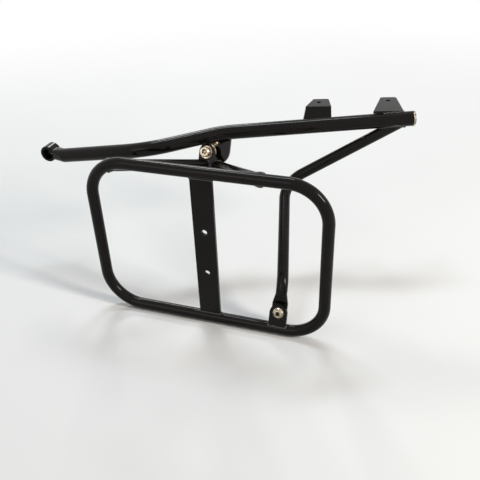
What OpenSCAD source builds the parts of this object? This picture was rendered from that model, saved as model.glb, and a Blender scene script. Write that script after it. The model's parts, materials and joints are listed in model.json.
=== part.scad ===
// Left-hand pannier frame of a motorbike with the grab rail that carries it.
// +X points to the rear, +Y towards the middle of the bike and +Z up.
// The origin is the middle of the bore of the front eye.

/* [Loop] */
// Width of the loop over the tubes
loop_w = 380; // [330:1:440]
// Height of the loop over the tubes
loop_h = 275; // [240:1:320]
// Outer diameter of the loop, strut and stay tubes
tube_d = 18; // [15:0.5:20]
// Wall of the loop, strut and stay tubes
tube_wall = 2; // [1.2:0.1:3]
// Bend radius of the loop at the tube's centre line
loop_bend_r = 58; // [45:1:70]
// Middle of the loop behind the front eye
loop_x = 336; // [320:1:350]
// Loop outboard of the front eye
loop_out = 126; // [116:1:136]
// Top tube of the loop above the front eye
loop_z = 61; // [54:1:68]

/* [Mounting plate] */
// Width of the upright flat bar
plate_w = 34; // [28:1:45]
// Thickness of the upright flat bar
plate_t = 5; // [3:0.5:6]
// Bar in front of the middle of the loop
plate_ahead = 2; // [0:1:30]
// Diameter of the two case holes
case_hole_d = 9; // [6:0.5:11]
// Distance between the two case holes
case_hole_pitch = 73; // [50:1:100]
// Upper case hole below the top tube's centre line
case_hole_drop = 97; // [70:1:120]

/* [Rail] */
// Outer diameter of the rail
rail_d = 24; // [20:0.5:26]
// Wall of the rail
rail_wall = 2; // [1.2:0.1:3]
// Bend radius of the rail at its centre line
rail_bend_r = 96; // [70:1:110]
// Front bend of the rail behind the front eye
bend_a_x = 204; // [190:1:215]
// Front bend of the rail outboard of the front eye
bend_a_out = 28; // [18:1:38]
// Front bend of the rail above the front eye
bend_a_z = 38; // [32:1:44]
// Rear bend of the rail behind the front eye
bend_b_x = 302; // [296:1:310]
// Rear bend of the rail inboard of the front eye
bend_b_in = 55; // [50:1:60]
// Rear bend of the rail above the front eye
bend_b_z = 43; // [39:1:47]
// Tail end of the rail behind the front eye
tail_x = 600; // [570:1:640]
// Tail end of the rail inboard of the front eye
tail_in = 138; // [124:1:154]
// Tail end of the rail above the front eye
tail_z = 63; // [56:1:70]
// Thickness of the plug that closes the tail end
cap_t = 3; // [2:0.5:5]

/* [Front eye] */
// Outer diameter of the eye
eye_d = 28; // [24:1:32]
// Length of the eye
eye_len = 22; // [18:1:30]
// Bore for the fixing bolt
eye_bore_d = 10.5; // [8:0.5:12]
// Diameter of the recess for the bolt's head
eye_recess_d = 19; // [17:0.5:21]
// Depth of the recess for the bolt's head
eye_recess = 10; // [6:1:10]
// Length of the pinched end of the rail, from the middle of the eye
pinch_l = 34; // [26:1:44]
// Height of the pinched end at the eye
pinch_h = 14; // [10:1:18]
// Rail's own centre line outboard of the eye's middle
pinch_out = 6; // [0:1:8]
// Rail's own centre line below the eye's middle
pinch_down = 6; // [0:1:8]

/* [Upper joint] */
// Lug hole behind the front eye
joint_x = 281.5; // [276:0.5:287]
// Lug hole inboard of the front eye
joint_in = 31; // [27:0.5:35]
// Lug hole above the front eye
joint_z = 16.5; // [13:0.5:20]
// Slope of the joint's bolts, inboard end down
joint_tilt = 27; // [22:1:32]
// Thickness of the lug plate
lug_t = 5; // [4:0.5:8]
// Radius of the lug round its bolt
lug_r = 13; // [12:0.5:15]
// Distance between the strut ends on the lug
strut_pitch = 24; // [20:1:30]
// Strut ends below the lug hole
strut_drop = 21; // [20:1:26]
// Middle of the strut ends behind the lug hole
strut_behind = 9; // [4:1:14]
// Place of the front strut round the loop's corner, from the top
front_strut_angle = 26; // [10:1:40]
// Rear strut behind the middle of the loop
rear_strut_x = 86; // [70:1:110]
// Length of the spacer's sleeve
sleeve_len = 10; // [9:0.5:16]
// Outer diameter of the spacer's sleeve
sleeve_d = 17; // [15:0.5:20]
// Outer diameter of the spacer's collar
collar_d = 30; // [24:0.5:32]
// Thickness of the spacer's collar
collar_t = 3; // [2:0.5:5]

/* [Hanger bracket] */
// Thickness of the bracket plate
bracket_t = 5; // [4:0.5:8]
// Width of the bracket plate
bracket_w = 50; // [44:1:60]
// Bracket plate below the upper bolt
bracket_drop = 20; // [18:1:26]
// Height of the bracket plate above the upper bolt
bracket_rise = 40; // [38:1:48]
// Small bolts behind the upper bolt
small_bolt_behind = 8.5; // [8:0.5:12]
// Upper small bolt above the upper bolt
small_bolt_up = 17; // [16:0.5:20]
// Lower small bolt below the upper bolt
small_bolt_down = 12.5; // [12.5:0.5:14]
// Free length of the small bolts behind the bracket
small_bolt_free = 14; // [8:1:20]

/* [Stay] */
// Bend radius of the stay at its centre line
stay_bend_r = 45; // [35:1:60]
// Stay's weld in front of the rail's tail end
stay_from_tail = 9; // [4:1:40]
// Main bend of the stay behind the front eye
stay_bend_x = 405; // [395:1:415]
// Main bend of the stay inboard of the front eye
stay_bend_in = 72; // [64:1:80]
// Main bend of the stay below the front eye
stay_bend_down = 45; // [38:1:52]
// Straight run of the stay between its foot's bend and its flattened end
stay_run = 1; // [1:1:12]
// Thickness of the stay's flattened end
paddle_t = 5; // [4:0.5:8]
// Radius of the stay's flattened end
paddle_r = 12; // [11:0.5:14]

/* [Lower joint] */
// Lower bolt in front of the loop's rear leg, centre to centre
lower_ahead = 72; // [72:1:100]
// Hole in the tab above the bottom tube's centre line
lower_rise = 27; // [26:1:34]
// Outboard face of the tab inside the tube's outer side
tab_inset = 1; // [0.5:0.5:3]
// Slope of the lower bolt, inboard end down
lower_tilt = 25; // [20:1:30]
// Thickness of the tab
tab_t = 5; // [4:0.5:8]
// Radius of the tab's round end
tab_r = 14; // [13:0.5:16]

/* [Rack tabs] */
// Thickness of the rack tabs
rack_tab_t = 4; // [2:0.5:5]
// Holes of the rack tabs
rack_hole_d = 7; // [5:0.5:9]
// Middle of the rear tab in front of the rail's tail end, along the bike
rear_tab_ahead = 39; // [34:1:55]
// Middle of the front tab in front of the middle of the rear one, along the bike
rack_tab_pitch = 109; // [90:1:130]
// Hole of the front tab inboard of the rail's centre line
front_tab_reach = 45; // [38:1:52]
// Hole of the rear tab inboard of the rail's centre line
rear_tab_reach = 48; // [38:1:54]
// Hole of the front tab behind the tab's middle, along the rail
front_tab_lean = 5; // [0:1:8]
// Hole of the rear tab behind the tab's middle, along the rail
rear_tab_lean = 7; // [0:1:9]
// Length of the tabs along the rail
rack_tab_l = 48; // [40:1:54]
// Front tab's fold shorter than its foot, at the front
web_taper = 6; // [0:1:8]
// Length of the tabs' free edges
rack_tab_tip = 27; // [22:1:34]
// Tab past its hole
rack_tab_past = 16; // [10:1:22]
// Fold of the front tab inboard of the rail's centre line
fold_reach = 26; // [20:1:30]
// Rear tab sunk into the round of the rail
tab_bed = 0.5; // [0.3:0.1:1]

/* [Bolts] */
// Thread diameter of the two main bolts
bolt_d = 10; // [8:0.5:10]
// Thread diameter of the two small bolts
small_bolt_d = 6; // [5:0.5:6]
// Clearance of a bolt in its hole, on the diameter
hole_gap = 1; // [0.4:0.1:1.5]
// Pitch diameter of the threads, as a share of the shank
thread_share = 0.9; // [0.88:0.01:0.93]

/* [Hidden] */
$fn = 64;

black = "#17181a";
zinc = "#c9c6bd";

tube_r = tube_d / 2;
rail_r = rail_d / 2;
// A straight runs this far into a bend
lap = 0.5;
// A bend stands this much proud of its straights
swell = 0.04;
// A cut runs this far past what it cuts
past = 1;
// Longer than any piece that a plane trims
big = 120;

// Loop, on the centre line of its tube
loop_y = -loop_out;
loop_half = loop_w / 2 - tube_r;
bottom_z = loop_z - loop_h + tube_d;
loop_left = loop_x - loop_half;
loop_right = loop_x + loop_half;
loop_path = [[loop_x, loop_y, bottom_z], [loop_right, loop_y, bottom_z], [loop_right, loop_y, loop_z],
             [loop_left, loop_y, loop_z], [loop_left, loop_y, bottom_z], [loop_x, loop_y, bottom_z]];

// Rail, on its centre line
bend_a = [bend_a_x, -bend_a_out, bend_a_z];
bend_b = [bend_b_x, bend_b_in, bend_b_z];
tail = [tail_x, tail_in, tail_z];
rail_aim = [0, -pinch_out, -pinch_down];
rail_front = rail_aim + pinch_l * unit(bend_a - rail_aim);
rail_path = [rail_front, bend_a, bend_b, tail];
tail_way = unit(tail - bend_b);

// Upper joint: x to the rear, y up along the lug and z outboard along the bolt
joint = [joint_x, joint_in, joint_z];
lug_back = -lug_t;
collar_back = lug_back - collar_t;
bracket_front = collar_back - sleeve_len;
bracket_back = bracket_front - bracket_t;
strut_ends = [for (side = [-1, 1]) [strut_behind + side * strut_pitch / 2, -strut_drop, 0]];
small_bolts = [[small_bolt_behind, small_bolt_up], [small_bolt_behind, -small_bolt_down]];

// Lower joint: the same directions, on the outboard face of the tab
low_in = (lower_rise * sin(lower_tilt) - (tube_r - tab_inset)) / cos(lower_tilt);
low = [loop_right - lower_ahead, loop_y + low_in, bottom_z + lower_rise];
tab_back = -tab_t;
paddle_back = tab_back - paddle_t;
paddle_mid = tab_back - paddle_t / 2;
taper_from = max(paddle_r, tab_r) + 1;
taper_to = taper_from + 14;
// The foot's bend stands this far up the tab, clear of the taper
stay_foot = taper_to + stay_run + 0.4 * stay_bend_r;

// Stay, on its centre line
stay_path = [tail - tail_way * stay_from_tail, [stay_bend_x, stay_bend_in, -stay_bend_down],
             place(low, lower_tilt, [0, stay_foot, paddle_mid]), place(low, lower_tilt, [0, taper_to, paddle_mid])];

// Struts, on their centre lines
corner = [loop_left + loop_bend_r, loop_y, loop_z - loop_bend_r];
front_strut_foot = corner + loop_bend_r * [-sin(front_strut_angle), 0, cos(front_strut_angle)];
rear_strut_foot = [loop_x + rear_strut_x, loop_y, loop_z];

// Bolts, washers and nuts, after the thread diameter
bolt_hole_d = bolt_d + hole_gap;
button_d = 1.75 * bolt_d;
button_h = 0.55 * bolt_d;
washer_d = 2.1 * bolt_d;
washer_t = 0.2 * bolt_d;
nut_af = 1.6 * bolt_d;
nut_h = 0.9 * bolt_d;
nut_flange_d = 2.1 * bolt_d;
nut_flange_t = 0.2 * bolt_d;
bolt_end = 0.3 * bolt_d;
small_washer_d = 2 * small_bolt_d;
small_washer_t = 0.25 * small_bolt_d;

function unit(v) = v / norm(v);
// Point p of a joint's own frame, in the part's frame
function place(at, tilt, p) = at + [p.x, p.y * sin(tilt) - p.z * cos(tilt), p.y * cos(tilt) + p.z * sin(tilt)];
// Length of a bend's tangent at corner b of the path a, b, c
function tangent(a, b, c, r) = r / tan(acos(unit(a - b) * unit(c - b)) / 2);
// Points of an arc about c
function arc(c, r, from, to, n = 16) = [for (i = [0 : n]) c + r * [cos(from + (to - from) * i / n),
                                                                  sin(from + (to - from) * i / n)]];
// Point on the tail run of the rail at a given x
function tail_run(x) = bend_b + tail_way * (x - bend_b_x) / tail_way.x;

// Children in the frame with origin p and axes x, y and z
module in_frame(p, x, y, z) {
  multmatrix([[x.x, y.x, z.x, p.x], [x.y, y.y, z.y, p.y], [x.z, y.z, z.z, p.z], [0, 0, 0, 1]]) children();
}

// Children in the frame of a tilted joint
module at_joint(at, tilt) {
  translate(at) rotate([90 - tilt, 0, 0]) children();
}

// Section of a tube, or of a solid bar where wall is 0
module section(d, wall) {
  difference() {
    circle(d = d);
    if (wall > 0) circle(d = d - 2 * wall);
  }
}

// Straight run of tube from a to b
module straight(a, b, d, wall = 0) {
  z = unit(b - a);
  x = unit(cross(abs(z.z) > 0.9 ? [1, 0, 0] : [0, 0, 1], z));
  in_frame(a, x, cross(z, x), z) linear_extrude(norm(b - a)) section(d, wall);
}

// Bend of radius r at corner b of the path a, b, c
module elbow(a, b, c, r, d, wall = 0) {
  u = unit(b - a);
  w = unit(c - b);
  x = -unit(w - (w * u) * u);
  centre = b - u * tangent(a, b, c, r) - x * r;
  in_frame(centre, x, u, cross(x, u)) {
    rotate_extrude(angle = acos(u * w)) translate([r, 0]) section(d + 2 * swell, wall > 0 ? wall + 2 * swell : 0);
  }
}

// Tube along a path, with a bend of radius r at each of its corners
module bent_tube(path, r, d, wall = 0) {
  last = len(path) - 1;
  for (i = [0 : last - 1]) {
    u = unit(path[i + 1] - path[i]);
    from = i == 0 ? 0 : tangent(path[i - 1], path[i], path[i + 1], r) - lap;
    to = i == last - 1 ? 0 : tangent(path[i], path[i + 1], path[i + 2], r) - lap;
    straight(path[i] + u * from, path[i + 1] - u * to, d, wall);
  }
  for (i = [1 : last - 1]) elbow(path[i - 1], path[i], path[i + 1], r, d, wall);
}

// Top and bottom tubes of the loop as solid bars, to cut what is welded on them
module top_bar() {
  bent_tube([loop_path[1], loop_path[2], loop_path[3], loop_path[4]], loop_bend_r, tube_d);
}
module bottom_bar() {
  bent_tube([loop_path[4], loop_path[1], loop_path[2]], loop_bend_r, tube_d);
}
module rail_bar() {
  bent_tube(rail_path, rail_bend_r, rail_d);
}

module loop_tube() {
  color(black) bent_tube(loop_path, loop_bend_r, tube_d, tube_wall);
}

module mounting_plate() {
  color(black) difference() {
    translate([loop_x - plate_ahead - plate_w / 2, loop_y - plate_t / 2, bottom_z]) {
      cube([plate_w, plate_t, loop_z - bottom_z]);
    }
    straight([loop_left, loop_y, loop_z], [loop_right, loop_y, loop_z], tube_d);
    bottom_bar();
    for (i = [0, 1]) {
      translate([loop_x - plate_ahead, loop_y, loop_z - case_hole_drop - i * case_hole_pitch]) {
        rotate([90, 0, 0]) cylinder(d = case_hole_d, h = plate_t + 2 * past, center = true);
      }
    }
  }
}

// Strut from a foot on the loop to the outboard face of the lug
module strut(foot, end) {
  tip = place(joint, joint_tilt, end);
  color(black) difference() {
    straight(foot, tip + unit(tip - foot) * tube_d, tube_d, tube_wall);
    top_bar();
    at_joint(joint, joint_tilt) translate([-big / 2, -big / 2, -big]) cube(big);
  }
}
module front_strut() {
  strut(front_strut_foot, strut_ends[0]);
}
module rear_strut() {
  strut(rear_strut_foot, strut_ends[1]);
}

// Plate with a round eye for the bolt, spread below it to take both strut ends
module upper_lug() {
  foot_r = tube_r + 1;
  color(black) at_joint(joint, joint_tilt) translate([0, 0, lug_back]) difference() {
    linear_extrude(lug_t) polygon(concat(
      arc([0, 0], lug_r, 0, 180),
      arc([strut_ends[0].x, -strut_drop], foot_r, 180, 270, 8),
      arc([strut_ends[1].x, -strut_drop], foot_r, 270, 450)));
    translate([0, 0, -past]) cylinder(d = bolt_hole_d, h = lug_t + 2 * past);
  }
}

// Round-ended plate on the bottom tube
module lower_tab() {
  color(black) difference() {
    at_joint(low, lower_tilt) translate([0, 0, tab_back]) difference() {
      linear_extrude(tab_t) {
        polygon(concat(arc([0, 0], tab_r, 0, 180), [[-tab_r, 3 - lower_rise], [tab_r, 3 - lower_rise]]));
      }
      translate([0, 0, -past]) cylinder(d = bolt_hole_d, h = tab_t + 2 * past);
    }
    bottom_bar();
  }
}

// S-bent rail, pinched at the front and coped round the front eye
module upper_rail() {
  color(black) difference() {
    union() {
      bent_tube(rail_path, rail_bend_r, rail_d, rail_wall);
      hull() {
        translate([0, -eye_len / 2 + past, -pinch_h / 2]) cube([past, eye_len - 2 * past, pinch_h]);
        straight(rail_front, rail_front + unit(bend_a - rail_aim) * past, rail_d - 4 * swell, $fn = 32);
      }
    }
    rotate([90, 0, 0]) cylinder(d = eye_d, h = big, center = true);
  }
}

// Chamfered disc that closes the tail end of the rail
module rail_end_cap() {
  rim = 1;
  x = unit(cross([0, 0, 1], tail_way));
  color(black) in_frame(tail, x, cross(tail_way, x), tail_way) rotate_extrude() {
    polygon([[0, 0], [rail_r, 0], [rail_r, cap_t - rim], [rail_r - rim, cap_t], [0, cap_t]]);
  }
}

// Cross tube with a bore and a recess for the head of the fixing bolt
module front_eye() {
  rim = 1;
  half = eye_len / 2;
  color(black) rotate([90, 0, 0]) rotate_extrude() {
    polygon([[eye_bore_d / 2, -half], [eye_d / 2 - rim, -half], [eye_d / 2, rim - half],
             [eye_d / 2, half - rim], [eye_d / 2 - rim, half], [eye_recess_d / 2, half],
             [eye_recess_d / 2, half - eye_recess], [eye_bore_d / 2, half - eye_recess]]);
  }
}

// Bent stay, coped under the rail, with a flattened foot behind the tab
module rear_stay() {
  color(black) {
    difference() {
      bent_tube(stay_path, stay_bend_r, tube_d, tube_wall);
      straight(bend_b, tail, rail_d);
    }
    at_joint(low, lower_tilt) {
      translate([0, 0, paddle_back]) difference() {
        linear_extrude(paddle_t) {
          polygon(concat(arc([0, 0], paddle_r, 180, 360), [[paddle_r, taper_from], [-paddle_r, taper_from]]));
        }
        translate([0, 0, -past]) cylinder(d = bolt_hole_d, h = paddle_t + 2 * past);
      }
      hull() {
        translate([-paddle_r, taper_from - lap, paddle_back]) cube([2 * paddle_r, lap, paddle_t]);
        translate([0, taper_to + past, paddle_mid]) rotate([90, 0, 0]) {
          cylinder(d = tube_d - 4 * swell, h = past, $fn = 32);
        }
      }
    }
  }
}

// Outline of a rack tab from its base to its free edge past the hole, which lies lean behind the middle
module tab_outline(base, reach, lean, cut = 0) {
  round = 4;
  tip = reach + rack_tab_past;
  half = rack_tab_tip / 2 - round;
  mid = lean * (tip - base) / (reach - base);
  polygon(concat([[cut - rack_tab_l / 2, base], [rack_tab_l / 2, base]],
    arc([mid + half, tip - round], round, 10, 90, 6), arc([mid - half, tip - round], round, 90, 170, 6)));
}

tail_yaw = atan2(tail_way.y, tail_way.x);
rear_tab_x = tail_x - rear_tab_ahead;
front_tab_x = rear_tab_x - rack_tab_pitch;
flange_z = tail_run(rear_tab_x).z + rail_r - tab_bed;

// Folded tab: a web on the rail that leans inboard, and a level flange
module front_rack_tab() {
  at = tail_run(front_tab_x);
  rise = flange_z - at.z;
  top = rise + rack_tab_t;
  web_in = rail_r / 2;
  fold_out = fold_reach + rack_tab_t;
  end = -rack_tab_l / 2;
  color(black) difference() {
    translate(at) rotate([0, 0, tail_yaw]) difference() {
      union() {
        translate([0, 0, rise]) linear_extrude(rack_tab_t) {
          tab_outline(fold_reach, front_tab_reach, front_tab_lean, web_taper);
        }
        rotate([90, 0, 90]) translate([0, 0, end]) linear_extrude(rack_tab_l) {
          polygon([[web_in, 0], [web_in + rack_tab_t, 0], [fold_out, rise], [fold_out, rise + rack_tab_t / 2],
                   [fold_reach, top]]);
        }
      }
      rotate([90, 0, 0]) translate([0, 0, -big / 2]) linear_extrude(big) {
        polygon([[end - past, 0], [end, 0], [end + web_taper, rise], [end + web_taper, top + past],
                 [end - past, top + past]]);
      }
      translate([front_tab_lean, front_tab_reach, rise - past]) cylinder(d = rack_hole_d, h = rack_tab_t + 2 * past);
    }
    straight(bend_b, tail, rail_d);
  }
}

// Flat tab on top of the rail
module rear_rack_tab() {
  at = tail_run(rear_tab_x);
  color(black) difference() {
    translate([at.x, at.y, flange_z]) rotate([0, 0, tail_yaw]) difference() {
      linear_extrude(rack_tab_t) tab_outline(0, rear_tab_reach, rear_tab_lean);
      translate([rear_tab_lean, rear_tab_reach, -past]) cylinder(d = rack_hole_d, h = rack_tab_t + 2 * past);
    }
    straight(bend_b, tail, rail_d);
  }
}

// Plate with a round foot that hangs from the rail, coped under it
module hanger_bracket() {
  half = bracket_w / 2;
  color(black) difference() {
    at_joint(joint, joint_tilt) translate([0, 0, bracket_back]) difference() {
      linear_extrude(bracket_t) polygon(concat(
        arc([small_bolt_behind, half - bracket_drop], half, 180, 360),
        [[small_bolt_behind + half, bracket_rise], [small_bolt_behind - half / 2, bracket_rise],
         [small_bolt_behind - half, bracket_rise - half]]));
      translate([0, 0, -past]) cylinder(d = bolt_hole_d, h = bracket_t + 2 * past);
      for (p = small_bolts) {
        translate([p.x, p.y, -past]) cylinder(d = small_bolt_d + hole_gap, h = bracket_t + 2 * past);
      }
    }
    rail_bar();
  }
}

// Washer from z = 0 up
module washer(bore, d, t) {
  rotate_extrude() translate([bore / 2, 0]) square([(d - bore) / 2, t]);
}

// Half profile of a screw's shank, grip long, and of its thread, free long
function screw_shaft(d, grip, free) = let(rim = d / 10, thread_r = d * thread_share / 2, end = -grip - free)
  [[0, end], [thread_r - rim, end], [thread_r, end + rim], [thread_r, -grip], [d / 2, -grip], [d / 2, 0]];

// Socket-head screw with the under side of its head at z = 0
module cap_screw(d, grip, free) {
  rim = d / 10;
  difference() {
    rotate_extrude() {
      polygon(concat(screw_shaft(d, grip, free),
        [[0.8 * d, 0], [0.8 * d, d - rim], [0.8 * d - rim, d], [0, d]]));
    }
    translate([0, 0, d / 2]) cylinder(d = 0.8 * d / cos(30), h = d, $fn = 6);
  }
}

// Button-head screw with the under side of its head at z = 0
module button_screw(d, grip, free) {
  rim = d / 10;
  dome = arc([0, button_h - button_d * 0.62], button_d * 0.62, 90, 47, 10);
  difference() {
    rotate_extrude() {
      polygon(concat(screw_shaft(d, grip, free), [[button_d / 2, 0], [button_d / 2, rim]],
        [for (i = [9 : -1 : 0]) dome[i]]));
    }
    translate([0, 0, button_h / 3]) cylinder(d = 0.6 * d / cos(30), h = d, $fn = 6);
  }
}

// Hex nut with a round flange from z = 0 down
module flange_nut() {
  translate([0, 0, -nut_h]) difference() {
    union() {
      cylinder(d = nut_af / cos(30), h = nut_h, $fn = 6);
      translate([0, 0, nut_h - nut_flange_t]) cylinder(d = nut_flange_d, h = nut_flange_t);
    }
    translate([0, 0, -past]) cylinder(d = bolt_d * thread_share, h = nut_h + 2 * past);
  }
}

module upper_bolt() {
  color(zinc) at_joint(joint, joint_tilt) translate([0, 0, washer_t]) {
    cap_screw(bolt_d, washer_t - bracket_back, nut_h + bolt_end);
  }
}
module upper_washer() {
  color(zinc) at_joint(joint, joint_tilt) washer(bolt_hole_d, washer_d, washer_t);
}

// Turned spacer: a wide collar behind the lug and a sleeve to the bracket
module upper_spacer() {
  bore = bolt_hole_d / 2;
  color(zinc) at_joint(joint, joint_tilt) rotate_extrude() {
    polygon([[bore, bracket_front], [sleeve_d / 2, bracket_front], [sleeve_d / 2, collar_back],
             [collar_d / 2, collar_back], [collar_d / 2, lug_back], [bore, lug_back]]);
  }
}
module upper_nut() {
  color(zinc) at_joint(joint, joint_tilt) translate([0, 0, bracket_back]) flange_nut();
}
module bracket_bolts() {
  color(zinc) at_joint(joint, joint_tilt) for (p = small_bolts) {
    translate([p.x, p.y, bracket_front + small_washer_t]) {
      cap_screw(small_bolt_d, small_washer_t + bracket_t, small_bolt_free);
    }
  }
}
module bracket_washers() {
  color(zinc) at_joint(joint, joint_tilt) for (p = small_bolts) {
    translate([p.x, p.y, bracket_front]) washer(small_bolt_d + hole_gap, small_washer_d, small_washer_t);
  }
}
module lower_bolt() {
  color(zinc) at_joint(low, lower_tilt) button_screw(bolt_d, washer_t - paddle_back, nut_h + bolt_end);
}
module lower_washer() {
  color(zinc) at_joint(low, lower_tilt) translate([0, 0, paddle_back - washer_t]) {
    washer(bolt_hole_d, washer_d, washer_t);
  }
}
module lower_nut() {
  color(zinc) at_joint(low, lower_tilt) translate([0, 0, paddle_back - washer_t]) flange_nut();
}

loop_tube();
mounting_plate();
front_strut();
rear_strut();
upper_lug();
lower_tab();
upper_rail();
rail_end_cap();
front_eye();
rear_stay();
front_rack_tab();
rear_rack_tab();
hanger_bracket();
upper_bolt();
upper_washer();
upper_spacer();
upper_nut();
bracket_bolts();
bracket_washers();
lower_bolt();
lower_washer();
lower_nut();
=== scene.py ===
# Looks of a motorbike's left pannier frame: gloss powder coat, weld beads, bright bolts, threads.
# Metres, in the part's own frame: +X to the rear, +Y towards the middle of the motorbike, +Z up.
import json
import math
import random

import bpy
from mathutils import Matrix, Vector
from mathutils.bvhtree import BVHTree


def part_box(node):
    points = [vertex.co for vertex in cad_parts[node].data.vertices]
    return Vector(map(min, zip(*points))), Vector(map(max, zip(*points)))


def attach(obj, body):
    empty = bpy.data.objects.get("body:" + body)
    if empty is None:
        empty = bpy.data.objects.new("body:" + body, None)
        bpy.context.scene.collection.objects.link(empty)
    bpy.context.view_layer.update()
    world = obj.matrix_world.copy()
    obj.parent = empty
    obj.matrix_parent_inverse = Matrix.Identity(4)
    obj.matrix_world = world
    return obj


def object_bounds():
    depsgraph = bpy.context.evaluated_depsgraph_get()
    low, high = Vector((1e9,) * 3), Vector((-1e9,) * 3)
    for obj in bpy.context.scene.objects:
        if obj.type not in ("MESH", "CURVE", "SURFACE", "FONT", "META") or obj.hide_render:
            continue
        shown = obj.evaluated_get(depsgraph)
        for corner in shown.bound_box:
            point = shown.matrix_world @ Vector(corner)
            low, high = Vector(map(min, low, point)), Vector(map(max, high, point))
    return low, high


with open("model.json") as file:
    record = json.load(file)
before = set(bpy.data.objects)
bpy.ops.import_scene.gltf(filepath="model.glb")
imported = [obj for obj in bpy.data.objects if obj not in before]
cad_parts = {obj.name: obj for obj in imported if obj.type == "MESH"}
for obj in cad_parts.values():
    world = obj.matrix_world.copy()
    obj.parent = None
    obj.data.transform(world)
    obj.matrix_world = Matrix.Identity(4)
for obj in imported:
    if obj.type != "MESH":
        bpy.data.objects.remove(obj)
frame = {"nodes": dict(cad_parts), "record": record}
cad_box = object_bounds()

MM = 0.001
MICRON = 0.001                  # of a millimetre
random.seed(11)
nodes = frame["nodes"]
mounts = {m["name"]: m for m in frame["record"]["mounts"]}
middle = (cad_box[0] + cad_box[1]) / 2

BLACK_NODES = ["loop_tube", "mounting_plate", "front_strut", "rear_strut", "upper_lug", "lower_tab",
               "upper_rail", "rail_end_cap", "front_eye", "rear_stay", "front_rack_tab",
               "rear_rack_tab", "hanger_bracket"]
BRIGHT_NODES = ["upper_bolt", "upper_washer", "upper_spacer", "upper_nut", "bracket_bolts",
                "bracket_washers", "lower_bolt", "lower_washer", "lower_nut"]
SHEET_NODES = ["mounting_plate", "upper_lug", "lower_tab", "front_rack_tab", "rear_rack_tab",
               "hanger_bracket"]
EDGE_EASE = 0.5 * MM
SHARP_EDGE = math.radians(50)

# Each weld: the piece, what it is welded on, its bead's radius in mm, and how many seams it has
WELDS = [("front_strut", "loop_tube", 2.2, 1), ("rear_strut", "loop_tube", 2.2, 1),
         ("front_strut", "upper_lug", 1.9, 1), ("rear_strut", "upper_lug", 1.9, 1),
         ("mounting_plate", "loop_tube", 2.0, 2), ("lower_tab", "loop_tube", 2.0, 1),
         ("rear_stay", "upper_rail", 2.0, 1), ("front_rack_tab", "upper_rail", 1.9, 1),
         ("rear_rack_tab", "upper_rail", 1.9, 1), ("hanger_bracket", "upper_rail", 1.9, 1),
         ("upper_rail", "front_eye", 1.8, 1), ("rail_end_cap", "upper_rail", 1.0, 1)]
WELD_REACH = 0.22 * MM          # how near a welded face lies to its base
BEAD_STEP = 0.32 * MM           # from one section of a bead to the next
BEAD_PITCH = 1.5 * MM           # from one drop of the weld to the next
BEAD_EASING = 8                 # rounds that ease the corners of a bead's path
FEWEST_SECTIONS = 12            # of a bead

# Each large bolt: its washer, its nut, and the radius of its hex socket in mm
LARGE_BOLTS = [("upper_bolt", "upper_washer", "upper_nut", 4.3),
               ("lower_bolt", "lower_washer", "lower_nut", 3.3)]
STUDS = ("bracket_stud_top", "bracket_stud_low")
STUD_SOCKET = 2.6 * MM
SUNK = 0.05 * MM                # how deep the feet of threads and knurls lie in the metal
LARGE_THREAD = {"root": 4.5 * MM, "height": 0.45 * MM, "pitch": 1.5 * MM}
SMALL_THREAD = {"height": 0.22 * MM, "pitch": 1.0 * MM}
THREAD_IN_NUT = 0.5 * MM        # how far a thread runs on into its nut
LARGE_KNURL = {"depth": 8.6 * MM, "radius": 8 * MM, "height": 7.2 * MM, "proud": 0.16 * MM,
               "teeth": 44}
SMALL_KNURL = {"depth": 5.2 * MM, "radius": 4.8 * MM, "height": 4.3 * MM, "proud": 0.12 * MM,
               "teeth": 32}

# Each coat: its roughness, its orange peel, its specular level, and the weight of its top layer
TUBE_COAT = (0.14, 0.08, 0.10, 0.09)
BEAD_COAT = (0.10, 0.12, 0.45, 0.30)
WHOLE_RADIUS = 10.6 * MM        # of the middle of the end cap, inside its worn rim
WHOLE_DEPTH = 10 * MM           # how far inside the rail that middle's line starts
ZINC_ROUGHNESS = 0.22

BLACK, BLACK_CLOUD = (0.0036, 0.0028, 0.0021), (0.0068, 0.0053, 0.0038)
DUST, SPECK = (0.012, 0.010, 0.008), (0.10, 0.092, 0.080)
WORN_METAL = (0.62, 0.54, 0.42)
ZINC, ZINC_CLOUD = (0.26, 0.20, 0.135), (0.62, 0.54, 0.43)
# GRIME is random dirt on the zinc; the second colour is painted shade, put in the hex sockets of
# the bolts
GRIME, PAINTED_SOCKET_SHADE = (0.10, 0.075, 0.050), (0.035, 0.026, 0.018)
WHITE = (1, 1, 1, 1)

FLOOR_HALF = 20.0                   # half of the floor's side
FLOOR_GAP = 0.2 * MM                # from the floor to the part's lowest point
FADE_START, FADE_END = 0.5, 1.9     # from the part's middle, where the floor fades to white
WORLD_LIGHT, WORLD_SEEN = 0.22, 1.0     # its strength as a light, and as it is seen

# Each lamp: its place from the part's middle, its size, its power in watts, and its colour
LAMPS = [("key", (2.5, -0.6, 1.4), (0.45, 0.9), 48, (1.0, 0.94, 0.86)),
         ("sky", (-0.4, 0.7, 2.4), (1.2, 0.30), 23, (0.84, 0.94, 1.0)),
         ("back", (-1.1, 2.0, 1.9), (0.7, 0.45), 20, (1.0, 0.98, 0.94)),
         ("fill", (-1.0, -2.6, 1.6), (1.6, 1.2), 8, (1.0, 0.98, 0.95))]

CAMERA_PLACE = (0.6335, -0.8324, 0.4408)
CAMERA_HEADING, CAMERA_DROP, CAMERA_ROLL = (math.radians(a) for a in (19.13, 32.80, -2.23))
FOCAL_POINTS, PICTURE_POINTS = 611.24, 480      # focal length and picture width, in its points
SENSOR = 36.0                                   # its width in millimetres


def shader(name, settings):
    """A new material, its node tree, and its Principled shader with those settings."""
    material = bpy.data.materials.new(name)
    material.use_nodes = True
    tree = material.node_tree
    body = tree.nodes["Principled BSDF"]
    for socket, value in settings.items():
        body.inputs[socket].default_value = value
    return material, tree, body


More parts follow.
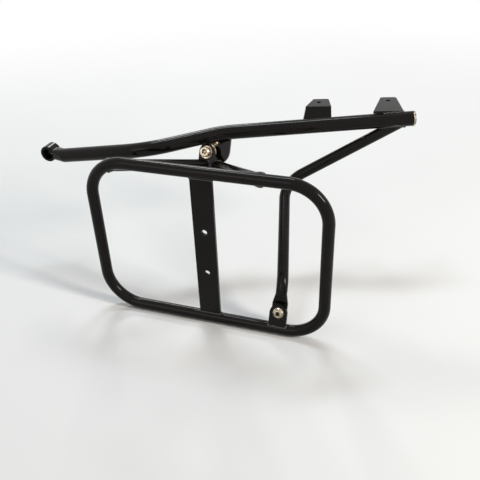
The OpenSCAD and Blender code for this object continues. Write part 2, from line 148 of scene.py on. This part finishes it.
def add(tree, kind, **values):
    """A node of that kind, with its sockets or settings set by name."""
    node = tree.nodes.new(kind)
    for key, value in values.items():
        if key in node.inputs:
            node.inputs[key].default_value = value
        else:
            setattr(node, key, value)
    return node


def feed(tree, socket, value):
    """Links socket to value, or sets it where value is no socket itself."""
    if isinstance(value, bpy.types.NodeSocket):
        tree.links.new(value, socket)
    else:
        socket.default_value = value


def number_node(tree, operation, a, b, clamp=False):
    """The result of an operation on a and b, each a socket or a number."""
    node = add(tree, "ShaderNodeMath", operation=operation, use_clamp=clamp)
    feed(tree, node.inputs[0], a)
    feed(tree, node.inputs[1], b)
    return node.outputs["Value"]


def vector_node(tree, operation, value, other=None):
    """The outputs of an operation on the vector value and, if given, the fixed vector other."""
    node = add(tree, "ShaderNodeVectorMath", operation=operation)
    tree.links.new(value, node.inputs[0])
    if other is not None:
        node.inputs[1].default_value = other
    return node.outputs


def coordinates(tree):
    """The place of a point in the part's own coordinates."""
    return add(tree, "ShaderNodeTexCoord").outputs["Object"]


def noise(tree, scale, detail=3.0, rough=0.5):
    """Value of a noise in the part's own coordinates, with scale in cells per metre."""
    texture = add(tree, "ShaderNodeTexNoise", Scale=scale, Detail=detail, Roughness=rough)
    tree.links.new(coordinates(tree), texture.inputs["Vector"])
    return texture.outputs["Fac"]


def rgba(colour):
    """A colour or a grey level as four numbers."""
    return (*colour, 1) if isinstance(colour, tuple) else (colour, colour, colour, 1)


def ramp(tree, value, low, high, at=(0.3, 0.7)):
    """Colour that runs from low to high as value runs over at."""
    node = add(tree, "ShaderNodeValToRGB")
    for stop, place, colour in zip(node.color_ramp.elements, at, (low, high)):
        stop.position = place
        stop.color = rgba(colour)
    tree.links.new(value, node.inputs["Fac"])
    return node.outputs["Color"]


def mixed(tree, factor, low, high):
    """What the socket low gives where factor is 0, and the colour high where it is 1."""
    node = add(tree, "ShaderNodeMix", data_type="RGBA")
    first, second = [s for s in node.inputs if s.type == "RGBA"]
    tree.links.new(low, first)
    second.default_value = rgba(high)
    tree.links.new(factor, node.inputs["Factor"])
    return [s for s in node.outputs if s.type == "RGBA"][0]


def bump(tree, height, distance, strength, under=None):
    """Normal that a height gives, over the normal under it."""
    node = add(tree, "ShaderNodeBump", Strength=strength, Distance=distance)
    tree.links.new(height, node.inputs["Height"])
    if under:
        tree.links.new(under, node.inputs["Normal"])
    return node.outputs["Normal"]


def facing_up(tree):
    """1 on faces that look straight up, where dust settles."""
    geometry = add(tree, "ShaderNodeNewGeometry")
    split = add(tree, "ShaderNodeSeparateXYZ")
    tree.links.new(geometry.outputs["Normal"], split.inputs["Vector"])
    return split.outputs["Z"]


def near_line(tree, foot, axis, radius):
    """1 within radius of the line from foot along axis, and 0 elsewhere."""
    away = vector_node(tree, "SUBTRACT", coordinates(tree), foot)["Vector"]
    across = vector_node(tree, "CROSS_PRODUCT", away, axis)["Vector"]
    distance = vector_node(tree, "LENGTH", across)["Value"]
    along = vector_node(tree, "DOT_PRODUCT", away, axis)["Value"]
    return number_node(tree, "MULTIPLY", number_node(tree, "LESS_THAN", distance, radius),
                       number_node(tree, "GREATER_THAN", along, 0.0))


def powder_coat(name, roughness, peel, level, coat, whole=None):
    """Gloss black powder coat: fine orange peel, cloudy gloss, a little dust on top, stray specks.
    With whole, the foot, axis and radius of a line, it is worn to the metal away from that line."""
    material, tree, body = shader(name, {"IOR": 1.5, "Specular IOR Level": level,
                                         "Coat Weight": coat, "Coat Roughness": 0.06})
    cloud = ramp(tree, noise(tree, 26, 4), BLACK, BLACK_CLOUD)
    settled = number_node(tree, "MULTIPLY", facing_up(tree), noise(tree, 70, 6, 0.65))
    colour = mixed(tree, ramp(tree, settled, 0.0, 1.0, (0.36, 0.80)), cloud, DUST)
    specks = ramp(tree, noise(tree, 1500, 1), 0.0, 0.5, (0.77, 0.80))
    colour = mixed(tree, specks, colour, SPECK)
    if whole:
        elsewhere = number_node(tree, "SUBTRACT", 1.0, near_line(tree, *whole))
        patches = ramp(tree, noise(tree, 260, 5), 0.0, 1.0, (0.38, 0.46))
        bare = number_node(tree, "MULTIPLY", elsewhere, patches)
        colour = mixed(tree, bare, colour, WORN_METAL)
        tree.links.new(bare, body.inputs["Metallic"])
    tree.links.new(colour, body.inputs["Base Color"])
    gloss = ramp(tree, noise(tree, 45, 5, 0.6), roughness - 0.05, roughness + 0.09)
    tree.links.new(gloss, body.inputs["Roughness"])
    orange = bump(tree, noise(tree, 420, 1), distance=0.00004, strength=peel)
    waves = bump(tree, noise(tree, 60, 2), distance=0.0002, strength=0.04, under=orange)
    tree.links.new(waves, body.inputs["Normal"])
    return material


def zinc_plate(name, sockets=()):
    """Yellowish zinc on steel: a warm silver with cloudy patches, grime and fine turning marks,
    with painted shade in the sockets, each a foot, an axis and a radius."""
    material, tree, body = shader(name, {"Metallic": 1.0})
    tone = ramp(tree, noise(tree, 260, 4), ZINC, ZINC_CLOUD)
    grime = ramp(tree, noise(tree, 420, 6, 0.7), 0.0, 0.8, (0.55, 0.70))
    colour = mixed(tree, grime, tone, GRIME)
    for socket in sockets:
        # painted shade: the colour darkens within each hex socket
        colour = mixed(tree, near_line(tree, *socket), colour, PAINTED_SOCKET_SHADE)
    tree.links.new(colour, body.inputs["Base Color"])
    gloss = ramp(tree, noise(tree, 300, 4), ZINC_ROUGHNESS - 0.08, ZINC_ROUGHNESS + 0.12)
    tree.links.new(gloss, body.inputs["Roughness"])
    marks = bump(tree, noise(tree, 2600, 2), distance=0.00002, strength=0.35)
    tree.links.new(marks, body.inputs["Normal"])
    return material


def seen_directly(tree):
    """1 for what the eye, reflections and glass see, and 0 for what only lights the scene."""
    path = add(tree, "ShaderNodeLightPath")
    seen = path.outputs["Is Camera Ray"]
    for ray in ("Is Glossy Ray", "Is Transmission Ray"):
        seen = number_node(tree, "ADD", seen, path.outputs[ray], clamp=True)
    return seen


def plain_floor():
    """Pale matt floor with a hardly visible grain, which fades to white away from the part."""
    material, tree, body = shader("floor_paint", {"Roughness": 0.9, "Specular IOR Level": 0.1})
    tree.links.new(ramp(tree, noise(tree, 3, 3), 0.93, 0.955), body.inputs["Base Color"])
    fade = add(tree, "ShaderNodeMapRange", interpolation_type="SMOOTHSTEP")
    fade.inputs["From Min"].default_value = FADE_START
    fade.inputs["From Max"].default_value = FADE_END
    away = vector_node(tree, "DISTANCE", coordinates(tree), middle)["Value"]
    tree.links.new(away, fade.inputs["Value"])
    white = add(tree, "ShaderNodeEmission", Color=WHITE, Strength=1.0)
    blend = add(tree, "ShaderNodeMixShader")
    share = number_node(tree, "MULTIPLY", fade.outputs["Result"], seen_directly(tree))
    tree.links.new(share, blend.inputs["Fac"])
    tree.links.new(body.outputs["BSDF"], blend.inputs[1])
    tree.links.new(white.outputs["Emission"], blend.inputs[2])
    tree.links.new(blend.outputs["Shader"], tree.nodes["Material Output"].inputs["Surface"])
    return material


def new_mesh(name, verts, faces):
    """A mesh from its points and faces."""
    mesh = bpy.data.meshes.new(name)
    mesh.from_pydata([tuple(v) for v in verts], [], faces)
    mesh.validate()
    mesh.update()
    return mesh


def ride(name, mesh, material):
    """A new piece on the part's one body, with its material."""
    piece = bpy.data.objects.new(name, mesh)
    bpy.context.scene.collection.objects.link(piece)
    mesh.materials.append(material)
    mesh.shade_smooth()
    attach(piece, "root")


def contact_rims(piece, base):
    """The loops of edges round the faces of piece that lie on base, the longest first."""
    mesh = nodes[piece].data
    other = nodes[base].data
    tree = BVHTree.FromPolygons([v.co for v in other.vertices],
                                [p.vertices[:] for p in other.polygons])
    near = [tree.find_nearest(v.co, WELD_REACH)[0] is not None for v in mesh.vertices]
    middle_near = [tree.find_nearest(p.center, 2 * WELD_REACH)[0] is not None
                   for p in mesh.polygons]
    keys = [tuple(round(c / (MICRON * MM)) for c in v.co) for v in mesh.vertices]
    sides = {}
    for face in mesh.polygons:
        on = middle_near[face.index] and all(near[i] for i in face.vertices)
        ring = [keys[i] for i in face.vertices]
        for a, b in zip(ring, ring[1:] + ring[:1]):
            if a != b:
                sides.setdefault(frozenset((a, b)), []).append(on)
    rim = {}
    for edge, on in sides.items():
        if any(on) and not all(on):
            a, b = tuple(edge)
            rim.setdefault(a, []).append(b)
            rim.setdefault(b, []).append(a)
    return closed_loops(rim)


def closed_loops(rim):
    """The walks through a graph of points in microns, as points in metres, the longest first."""
    loops, seen = [], set()
    for start in sorted(rim):
        if start in seen:
            continue
        walk, fresh = [], [start]
        while fresh:
            walk.append(fresh[0])
            seen.add(fresh[0])
            fresh = [p for p in sorted(rim[fresh[0]]) if p not in seen]
        loops.append([Vector(p) * MICRON * MM for p in walk])
    return sorted(loops, key=lambda loop: -closed_length(loop))


def closed_length(points):
    """Length of a closed path."""
    return sum((b - a).length for a, b in zip(points, points[1:] + points[:1]))


def resampled(points, step):
    """Even points along a closed path."""
    ring = points + points[:1]
    total = closed_length(points)
    count = max(FEWEST_SECTIONS, round(total / step))
    result, left, i = [], 0.0, 0
    for k in range(count):
        want = total * k / count
        while left + (ring[i + 1] - ring[i]).length < want:
            left += (ring[i + 1] - ring[i]).length
            i += 1
        share = (want - left) / max((ring[i + 1] - ring[i]).length, 1e-9)
        result.append(ring[i].lerp(ring[i + 1], share))
    return result


def smoothed(points, times):
    """A closed path with its corners eased."""
    for _ in range(times):
        points = [(points[i - 1] + 2 * p + points[(i + 1) % len(points)]) / 4
                  for i, p in enumerate(points)]
    return points


def bead_mesh(name, points, radius, sides=10, spell=4):
    """A weld bead swept round a closed path, with a ripple for each drop of the weld. Its size
    wanders from one random draw to the next, a spell of sections further on."""
    count = len(points)
    travel = 0.0
    verts, faces = [], []
    across = (points[1] - points[0]).orthogonal().normalized()
    draws = [random.uniform(0.93, 1.07) for _ in range(count // spell + 2)]
    for i, p in enumerate(points):
        along = (points[(i + 1) % count] - points[i - 1]).normalized()
        across = (across - along * across.dot(along)).normalized()
        up = along.cross(across)
        ripple = 0.84 + 0.22 * abs(math.sin(math.pi * travel / BEAD_PITCH))
        now, then = draws[i // spell], draws[i // spell + 1]
        size = radius * ripple * (now + (then - now) * (i % spell) / spell)
        for k in range(sides):
            turn = 2 * math.pi * k / sides
            verts.append(p + size * (across * math.cos(turn) + up * math.sin(turn)))
        travel += (points[(i + 1) % count] - p).length
    for i in range(count):
        for k in range(sides):
            a, b = i * sides, (i + 1) % count * sides
            faces.append((a + k, a + (k + 1) % sides, b + (k + 1) % sides, b + k))
    return new_mesh(name, verts, faces)


def add_weld(piece, base, radius, seams, material):
    """The beads that join piece to base."""
    for i, rim in enumerate(contact_rims(piece, base)[:seams]):
        name = f"weld_{piece}_{base}" + (f"_{i + 1}" if i else "")
        path = smoothed(resampled(rim, BEAD_STEP), BEAD_EASING)
        ride(name, bead_mesh(name, path, radius), material)


def turned(axis):
    """Two directions square to axis and to each other."""
    x = axis.orthogonal().normalized()
    return x, axis.cross(x)


def helix_mesh(name, foot, axis, length, root, height, pitch, steps=28):
    """A screw thread: one ridge, wide at its foot and narrow at its crest, wound round a shaft."""
    x, y = turned(axis)
    turns = length / pitch - 1
    count = round(turns * steps)
    foot_half, crest_half = 0.46, 0.06      # in pitches
    verts, faces = [], []
    for i in range(count + 1):
        turn = 2 * math.pi * i / steps
        out = x * math.cos(turn) + y * math.sin(turn)
        mid = foot + axis * pitch * (0.5 + i / steps)
        crest = height * min(1.0, i / steps, (count - i) / steps)
        for rise, shift in ((-SUNK, -foot_half), (crest, -crest_half),
                            (crest, crest_half), (-SUNK, foot_half)):
            verts.append(mid + out * (root + rise) + axis * pitch * shift)
    for i in range(count):
        for k in range(4):
            a, b = 4 * i, 4 * (i + 1)
            faces.append((a + k, a + (k + 1) % 4, b + (k + 1) % 4, b + k))
    faces += [(3, 2, 1, 0), tuple(4 * count + k for k in range(4))]
    return new_mesh(name, verts, faces)


def knurl_mesh(name, foot, axis, radius, height, proud, teeth):
    """The straight knurl round a screw's head: a ring of fine teeth."""
    x, y = turned(axis)
    verts, faces = [], []
    for i in range(2 * teeth):
        turn = math.pi * i / teeth
        out = x * math.cos(turn) + y * math.sin(turn)
        reach = radius + (proud if i % 2 else -SUNK)
        verts += [foot + out * reach, foot + out * reach + axis * height]
    for i in range(2 * teeth):
        a, b = 2 * i, 2 * ((i + 1) % (2 * teeth))
        faces.append((a, b, b + 1, a + 1))
    bottom = tuple(2 * i for i in range(2 * teeth))
    faces += [bottom[::-1], tuple(i + 1 for i in bottom)]
    return new_mesh(name, verts, faces)


def disc_axis(node):
    """Centre of a washer or cap, and the direction square to its flat faces, outboard."""
    largest = max(nodes[node].data.polygons, key=lambda p: p.area)
    low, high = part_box(node)
    axis = largest.normal.copy()
    return (low + high) / 2, (axis if axis.y < 0 else -axis).normalized()


def stud_axis(stud):
    """Middle of a small bolt's shaft, and its direction, away from its head."""
    return Vector(mounts[stud]["pos_m"]), Vector(mounts[stud]["axis"]).normalized()


def reach_along(node, foot, axis):
    """Lowest and highest place of a node's vertices along axis, from foot."""
    places = [(v.co - foot).dot(axis) for v in nodes[node].data.vertices]
    return min(places), max(places)


def socket_places():
    """Foot, outboard axis and radius of each screw's hex socket, by node."""
    places = {bolt: [(*disc_axis(washer), radius * MM)]
              for bolt, washer, _, radius in LARGE_BOLTS}
    places["bracket_bolts"] = []
    for stud in STUDS:
        place, axis = stud_axis(stud)
        places["bracket_bolts"].append((place, -axis, STUD_SOCKET))
    return places


def add_threads(material):
    """Threads on the free ends of the bolts."""
    for stud in STUDS:
        place, axis = stud_axis(stud)
        length = mounts[stud]["dims"]["length_mm"] * MM
        mesh = helix_mesh(f"thread_{stud}", place - axis * length / 2, axis, length,
                          root=mounts[stud]["dims"]["r_mm"] * MM, **SMALL_THREAD)
        ride(f"thread_{stud}", mesh, material)
    for bolt, washer, nut, _ in LARGE_BOLTS:
        foot, axis = disc_axis(washer)
        tip, _ = reach_along(bolt, foot, axis)
        end, _ = reach_along(nut, foot, axis)
        mesh = helix_mesh(f"thread_{bolt}", foot + axis * end, -axis, end - tip + THREAD_IN_NUT,
                          **LARGE_THREAD)
        ride(f"thread_{bolt}", mesh, material)


def add_knurl(name, bolt, place, axis, material, depth, **size):
    """A knurl on a bolt's head, from depth under its top, with axis outboard."""
    _, top = reach_along(bolt, place, axis)
    mesh = knurl_mesh(name, place + axis * (top - depth), axis, **size)
    ride(name, mesh, material)


def add_knurls(material):
    """Knurls on the heads of the cap screws."""
    add_knurl("knurl_upper_bolt", "upper_bolt", *disc_axis("upper_washer"), material,
              **LARGE_KNURL)
    for stud in STUDS:
        place, axis = stud_axis(stud)
        add_knurl(f"knurl_{stud}", "bracket_bolts", place, -axis, material, **SMALL_KNURL)


def dress_nodes(coat, worn_coat, zinc):
    """Materials and eased edges for the carried-over solids."""
    sockets = socket_places()
    for name in BLACK_NODES + BRIGHT_NODES:
        if name == "rail_end_cap":
            material = worn_coat
        elif name in sockets:
            material = zinc_plate(f"zinc_plate_{name}", sockets[name])
        else:
            material = coat if name in BLACK_NODES else zinc
        nodes[name].data.materials.clear()
        nodes[name].data.materials.append(material)
    for name in SHEET_NODES:
        ease = nodes[name].modifiers.new("eased_edges", "BEVEL")
        ease.width = EDGE_EASE
        ease.segments = 2
        ease.limit_method = "ANGLE"
        ease.angle_limit = SHARP_EDGE


def add_lamps():
    """Soft rectangular lamps that look at the part's middle."""
    for name, offset, size, power, colour in LAMPS:
        lamp = bpy.data.lights.new(name, "AREA")
        lamp.shape = "RECTANGLE"
        lamp.size, lamp.size_y = size
        lamp.energy = power
        lamp.color = colour
        rig = bpy.data.objects.new(name, lamp)
        rig.location = middle + Vector(offset)
        rig.rotation_euler = (middle - rig.location).to_track_quat("-Z", "Y").to_euler()
        bpy.context.scene.collection.objects.link(rig)


def add_world():
    """White to the eye and in reflections, and softer as a source of light."""
    world = bpy.data.worlds.new("studio")
    bpy.context.scene.world = world
    world.use_nodes = True
    tree = world.node_tree
    backdrop = tree.nodes["Background"]
    level = add(tree, "ShaderNodeMapRange")
    level.inputs["To Min"].default_value = WORLD_LIGHT
    level.inputs["To Max"].default_value = WORLD_SEEN
    tree.links.new(seen_directly(tree), level.inputs["Value"])
    tree.links.new(level.outputs["Result"], backdrop.inputs["Strength"])
    backdrop.inputs["Color"].default_value = WHITE


def add_floor():
    """A wide floor just under the lowest point of the part."""
    z = cad_box[0].z - FLOOR_GAP
    corners = ((-1, -1), (1, -1), (1, 1), (-1, 1))
    verts = [(FLOOR_HALF * x, FLOOR_HALF * y, z) for x, y in corners]
    floor = bpy.data.objects.new("floor", new_mesh("floor", verts, [(0, 1, 2, 3)]))
    floor.data.materials.append(plain_floor())
    bpy.context.scene.collection.objects.link(floor)


def add_camera():
    """The photograph's own viewpoint, solved from the loop's known corners."""
    level = Vector((math.cos(CAMERA_HEADING), math.sin(CAMERA_HEADING), 0))
    ahead = Vector((-math.sin(CAMERA_HEADING) * math.cos(CAMERA_DROP),
                    math.cos(CAMERA_HEADING) * math.cos(CAMERA_DROP),
                    -math.sin(CAMERA_DROP)))
    rise = level.cross(ahead)
    right = level * math.cos(CAMERA_ROLL) + rise * math.sin(CAMERA_ROLL)
    up = rise * math.cos(CAMERA_ROLL) - level * math.sin(CAMERA_ROLL)
    turn = Matrix((right, up, -ahead)).transposed().to_4x4()
    lens = bpy.data.cameras.new("camera")
    lens.sensor_width = SENSOR
    lens.lens = FOCAL_POINTS / PICTURE_POINTS * lens.sensor_width
    rig = bpy.data.objects.new("camera", lens)
    rig.matrix_world = Matrix.Translation(Vector(CAMERA_PLACE)) @ turn
    bpy.context.scene.collection.objects.link(rig)
    bpy.context.scene.camera = rig


def main():
    """Dresses the part and sets up its studio."""
    bpy.context.scene.view_settings.view_transform = "Standard"
    coat = powder_coat("powder_coat", *TUBE_COAT)
    weld_coat = powder_coat("powder_coat_on_weld", *BEAD_COAT)
    zinc = zinc_plate("zinc_plate")
    cap_middle, cap_axis = disc_axis("rail_end_cap")
    cap_foot = cap_middle - cap_axis * WHOLE_DEPTH
    worn_coat = powder_coat("powder_coat_worn", *TUBE_COAT, (cap_foot, cap_axis, WHOLE_RADIUS))
    dress_nodes(coat, worn_coat, zinc)
    for piece, base, radius, seams in WELDS:
        bead_coat = worn_coat if piece == "rail_end_cap" else weld_coat
        add_weld(piece, base, radius * MM, seams, bead_coat)
    add_threads(zinc)
    add_knurls(zinc)
    add_floor()
    add_lamps()
    add_world()
    add_camera()


main()
